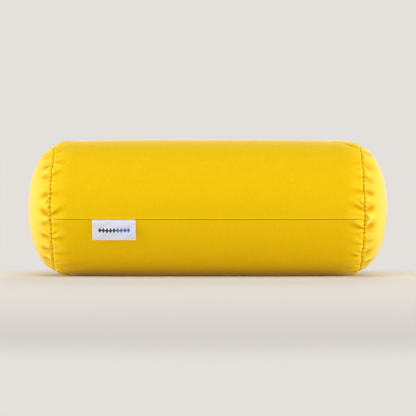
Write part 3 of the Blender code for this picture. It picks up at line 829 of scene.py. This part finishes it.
lozenge_edge = place(tree, "Math", {0: beside_half.outputs[0], 1: LOZENGE_SLOPE,
                                    2: above_share.outputs[0]}, operation="MULTIPLY_ADD")
in_lozenge = place(tree, "Math", {0: lozenge_edge.outputs[0], 1: 1.0}, operation="LESS_THAN")
row_middle = place(tree, "Math", {0: in_row.outputs["Result"], 1: LOZENGES / 2}, operation="SUBTRACT")
row_far = place(tree, "Math", {0: row_middle.outputs[0]}, operation="ABSOLUTE")
on_row = place(tree, "Math", {0: row_far.outputs[0], 1: LOZENGES / 2}, operation="LESS_THAN")
ornament = place(tree, "Math", {0: in_lozenge.outputs[0], 1: on_row.outputs[0]}, operation="MULTIPLY")
is_blue = place(tree, "Math", {0: row_middle.outputs[0], 1: 0.5}, operation="GREATER_THAN")
thread_pair = place(tree, "Mix", {0: is_blue.outputs[0], 6: LABEL_CHARCOAL, 7: LABEL_BLUE},
                    data_type="RGBA")
ground = place(tree, "Mix", {0: border.outputs[0], 7: LABEL_BORDER,
                             6: dyed(tree, LABEL_WHITE, LABEL_SHADE, patch=0.006, share=0.9)},
               data_type="RGBA")
woven_in = place(tree, "Mix", {0: ornament.outputs[0], 6: ground.outputs[2], 7: thread_pair.outputs[2]},
                 data_type="RGBA")
tree.links.new(woven_in.outputs[2], shader.inputs["Base Color"])
ribbon_height = place(tree, "Math", {0: border.outputs[0], 1: 0.8, 2: threads.outputs["Height"]},
                      operation="MULTIPLY_ADD")
raise_surface(tree, shader, ribbon_height.outputs[0], distance=LABEL_RELIEF, strength=0.6)


def ribbon_sheet(x_start, x_end, rows, lie):
    """A ribbon laid round the barrel: lie gives its drop below the seam and height off the barrel."""
    work = bmesh.new()
    work.loops.layers.uv.new("ribbon")
    bmesh.ops.create_grid(work, x_segments=LABEL_COLUMNS, y_segments=rows, size=0.5, calc_uvs=True)
    for vertex in work.verts:
        across, down = vertex.co.x + 0.5, 0.5 - vertex.co.y
        drop, height = lie(across, down)
        turn = seam_drop + drop / barrel_radius
        radius = barrel_radius + height
        vertex.co = (x_start + across * (x_end - x_start), -radius * math.cos(turn),
                     axis_height - radius * math.sin(turn))
    face = next(iter(work.faces))
    face.normal_update()
    if face.normal.y > 0:
        bmesh.ops.reverse_faces(work, faces=work.faces)
    return work


def label_lie(across, down):
    """The label leaves the seam, bends down, and lies a little off the fabric with faint folds."""
    folds = LABEL_FOLD * math.sin(9 * across + 7 * down + 0.5)
    folds += LABEL_RIPPLE * math.sin(21 * across + 13 * down)
    folds *= math.sin(math.pi * down)
    height = LABEL_LIFT * (1 - math.exp(-down / LABEL_BEND)) - LABEL_UNDER + LABEL_LEAN * down + folds
    return LABEL_OUT + down * LABEL_DROP, height


def tail_lie(across, down):
    """The tail goes straight down into the seam."""
    return 0.0, -TAIL_DEPTH * down


sheet = ribbon_sheet(label_low.x, label_high.x, LABEL_ROWS, label_lie)
label = finished_sheet("label_ribbon", sheet, LABEL_RIBBON, ribbon, body="label")
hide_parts("woven_label")

sheet = ribbon_sheet(tail_low.x, tail_high.x, TAIL_ROWS, tail_lie)
label_tail = finished_sheet("label_tail", sheet, TAIL_RIBBON, ribbon)
label_tail.modifiers["wall"].offset = 0.0
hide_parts("woven_label_tail")


# ---------------------------------------------------------------------------------------------
# Floor and studio. A pale floor that melts into a pale surround, and softboxes to both sides,
# over the top, in front and behind.
# ---------------------------------------------------------------------------------------------
FLOOR_COLOUR = (0.735, 0.71, 0.67, 1.0)
FLOOR_RADIUS = 3.0
MELT_SHARES = (1.6, 1.5, 1.0)  # of each way that counts towards how far off a place is
MELT_SHIFT = (0.0, 0.525, 0.0)
MELT_RUN = (0.62, 0.86)  # where the floor starts to melt and where it is gone
SURROUND = (0.776, 0.745, 0.716, 1.0)
SURROUND_LIGHT = 0.50  # what it gives the pillow, in shares of how bright it looks
CAMERA_STAND = (0.0005, -1.6, 0.075)
CAMERA_LENS = 123.5

work = bmesh.new()
bmesh.ops.create_circle(work, cap_ends=True, segments=96, radius=FLOOR_RADIUS)
mesh = bpy.data.meshes.new("floor")
work.to_mesh(mesh)
work.free()
floor = bpy.data.objects.new("floor", mesh)
bpy.context.scene.collection.objects.link(floor)
pale, tree, shader = start_finish("pale_floor", Roughness=0.9, Specular_IOR_Level=0.0,
                                  Base_Color=FLOOR_COLOUR)
floor_place = place(tree, "TexCoord")
in_melt = place(tree, "VectorMath", {0: floor_place.outputs["Object"], 1: MELT_SHARES,
                                     2: MELT_SHIFT}, operation="MULTIPLY_ADD")
from_middle = place(tree, "VectorMath", {0: in_melt.outputs[0]}, operation="LENGTH")
faded = place(tree, "MapRange", {"Value": from_middle.outputs["Value"], "From Min": MELT_RUN[0],
                                 "From Max": MELT_RUN[1]}, interpolation_type="SMOOTHSTEP")
clear = place(tree, "BsdfTransparent")
melt = place(tree, "MixShader", {0: faded.outputs["Result"], 1: shader.outputs[0], 2: clear.outputs[0]})
tree.links.new(melt.outputs[0], tree.nodes["Material Output"].inputs["Surface"])
mesh.materials.append(pale)

world = bpy.data.worlds.new("studio")
bpy.context.scene.world = world
world.use_nodes = True
surround = world.node_tree.nodes["Background"]
surround.inputs["Color"].default_value = SURROUND
ray = place(world.node_tree, "LightPath")
seen_or_lit = place(world.node_tree, "MapRange", {
    "Value": ray.outputs["Is Camera Ray"], "To Min": SURROUND_LIGHT, "To Max": 1.0})
world.node_tree.links.new(seen_or_lit.outputs["Result"], surround.inputs["Strength"])


def softbox(name, stand, aim, size, power):
    """A soft rectangular lamp at stand, turned to aim, in metres and watts."""
    data = bpy.data.lights.new(name, "AREA")
    data.shape = "RECTANGLE"
    data.size, data.size_y = size
    data.energy = power
    lamp = bpy.data.objects.new(name, data)
    bpy.context.scene.collection.objects.link(lamp)
    lamp.location = stand
    lamp.rotation_euler = (Vector(aim) - Vector(stand)).to_track_quat("-Z", "Y").to_euler()
    lamp.visible_camera = False


softbox("left_softbox", (-1.05, -0.22, 0.24), (-0.15, 0, 0.08), (0.6, 0.6), 7.6)
softbox("right_softbox", (1.05, -0.22, 0.24), (0.15, 0, 0.08), (0.6, 0.6), 7.9)
softbox("top_softbox", (-0.1, -0.5, 1.1), (0, 0, 0.06), (0.9, 0.6), 3.9)
softbox("front_softbox", (0, -1.8, 0.2), (0, 0, 0.06), (1.2, 0.35), 6.4)
softbox("back_softbox", (0.2, 1.1, 0.9), (0, 0, 0.08), (0.9, 0.6), 5.5)

camera_data = bpy.data.cameras.new("camera")
camera_data.lens = CAMERA_LENS
camera_data.sensor_width = 36
camera = bpy.data.objects.new("camera", camera_data)
bpy.context.scene.collection.objects.link(camera)
camera.location = CAMERA_STAND
camera.rotation_euler = (math.pi / 2, 0, 0)
bpy.context.scene.camera = camera
bpy.context.scene.view_settings.view_transform = "Standard"
